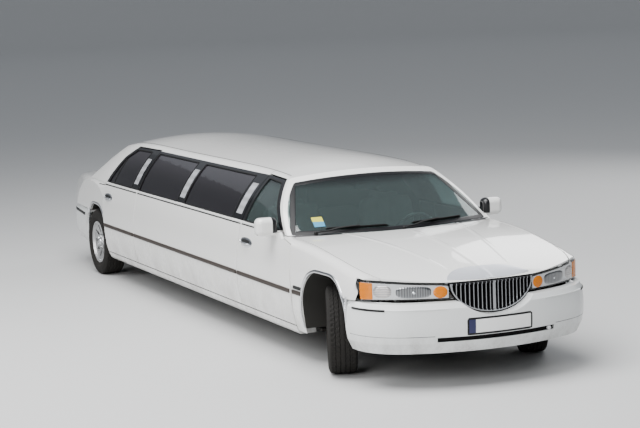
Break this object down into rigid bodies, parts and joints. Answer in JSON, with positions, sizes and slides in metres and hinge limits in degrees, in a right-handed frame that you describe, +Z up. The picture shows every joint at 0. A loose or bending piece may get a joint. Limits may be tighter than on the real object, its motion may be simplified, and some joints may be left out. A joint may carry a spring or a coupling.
{
  "type": "stretch limousine",
  "caption": "Long white stretch limousine with tinted side glass, opening doors, hood and trunk lid, steered front wheels and a lounge cabin.",
  "frame": {"origin": "on the ground under the middle of the car's length and width", "axes": "+X to the front of the car, +Y to its left, +Z up"},
  "size_m": [8.5019, 2.204, 1.4777],
  "materials": {
    "body_paint": "gloss white paint, mud splashed low on the sides",
    "tinted_glass": "very dark tinted glass",
    "green_glass": "slightly green glass",
    "chrome_trim": "polished",
    "lamp_glass": "clear lens",
    "red_lens": "red lens",
    "strip_lens": "frosted white lens",
    "tyre_rubber": "dusty black rubber",
    "wheel_alloy": "satin",
    "under_black": "matte black with dust",
    "cast_iron": "rough",
    "exhaust_steel": "dull",
    "tank_plastic": "matte",
    "cabin_plastic": "grained",
    "seat_leather": "soft"
  },
  "bodies": {
    "root": {"roof_panel": "body_paint", "front_fenders": "body_paint", "quarter_panels": "body_paint", "stretch_panels": "body_paint", "front_bumper": "body_paint", "rear_bumper": "body_paint", "rocker_sills": "body_paint", "side_windows": "tinted_glass", "rear_window": "tinted_glass", "windshield": "green_glass", "grille": "chrome_trim", "headlamps": "lamp_glass", "tail_lamps": "red_lens", "pillar_lamps": "strip_lens", "chassis_frame": "under_black", "floor_pan": "under_black", "front_suspension": "under_black", "rear_axle": "under_black", "engine_block": "cast_iron", "exhaust": "exhaust_steel", "fuel_tank": "tank_plastic", "dashboard": "cabin_plastic", "partition": "cabin_plastic", "front_seats": "seat_leather", "lounge_seats": "seat_leather"},
    "right_front_door": {"right_front_door": "body_paint", "right_front_door_glass": "green_glass"},
    "right_rear_door": {"right_rear_door": "body_paint", "right_rear_door_glass": "tinted_glass"},
    "right_knuckle": {"right_knuckle": "under_black"},
    "front_right_wheel": {"front_right_wheel": "wheel_alloy", "front_right_tyre": "tyre_rubber"},
    "rear_right_wheel": {"rear_right_wheel": "wheel_alloy", "rear_right_tyre": "tyre_rubber"},
    "left_front_door": {"left_front_door": "body_paint", "left_front_door_glass": "green_glass"},
    "left_rear_door": {"left_rear_door": "body_paint", "left_rear_door_glass": "tinted_glass"},
    "left_knuckle": {"left_knuckle": "under_black"},
    "front_left_wheel": {"front_left_wheel": "wheel_alloy", "front_left_tyre": "tyre_rubber"},
    "rear_left_wheel": {"rear_left_wheel": "wheel_alloy", "rear_left_tyre": "tyre_rubber"},
    "hood": {"hood": "body_paint"},
    "trunk_lid": {"trunk_lid": "body_paint"}
  },
  "joints": [
    {"name": "right_steer", "type": "hinge", "parent": "root", "child": "right_knuckle", "pos_m": [3.206, -0.71, 0.338], "axis": [0, 0, 1], "range_deg": [-13, 57]},
    {"name": "front_right_spin", "type": "hinge", "parent": "right_knuckle", "child": "front_right_wheel", "pos_m": [3.17041, -0.79808, 0.338], "axis": [0.3746, 0.9272, 0], "continuous": true},
    {"name": "rear_right_spin", "type": "hinge", "parent": "root", "child": "rear_right_wheel", "pos_m": [-2.832, -0.825, 0.338], "axis": [0, 1, 0], "continuous": true},
    {"name": "right_front_door_hinge", "type": "hinge", "parent": "root", "child": "right_front_door", "pos_m": [2.639, -0.992, 0.65], "axis": [0, 0, 1], "range_deg": [0, 65]},
    {"name": "right_rear_door_hinge", "type": "hinge", "parent": "root", "child": "right_rear_door", "pos_m": [-1.389, -0.992, 0.65], "axis": [0, 0, 1], "range_deg": [0, 65]},
    {"name": "left_steer", "type": "hinge", "parent": "root", "child": "left_knuckle", "pos_m": [3.206, 0.71, 0.338], "axis": [0, 0, 1], "range_deg": [-13, 57]},
    {"name": "front_left_spin", "type": "hinge", "parent": "left_knuckle", "child": "front_left_wheel", "pos_m": [3.24159, 0.79808, 0.338], "axis": [0.3746, 0.9272, 0], "continuous": true},
    {"name": "rear_left_spin", "type": "hinge", "parent": "root", "child": "rear_left_wheel", "pos_m": [-2.832, 0.825, 0.338], "axis": [0, 1, 0], "continuous": true},
    {"name": "left_front_door_hinge", "type": "hinge", "parent": "root", "child": "left_front_door", "pos_m": [2.639, 0.992, 0.65], "axis": [0, 0, -1], "range_deg": [0, 65]},
    {"name": "left_rear_door_hinge", "type": "hinge", "parent": "root", "child": "left_rear_door", "pos_m": [-1.389, 0.992, 0.65], "axis": [0, 0, -1], "range_deg": [0, 65]},
    {"name": "hood_hinge", "type": "hinge", "parent": "root", "child": "hood", "pos_m": [2.459, 0, 0.972], "axis": [0, -1, 0], "range_deg": [0, 50]},
    {"name": "trunk_hinge", "type": "hinge", "parent": "root", "child": "trunk_lid", "pos_m": [-3.264, 0, 1.012], "axis": [0, 1, 0], "range_deg": [0, 60]}
  ],
  "couplings": [
    {"joint": "left_steer", "follows": "right_steer", "ratio": 1}
  ]
}
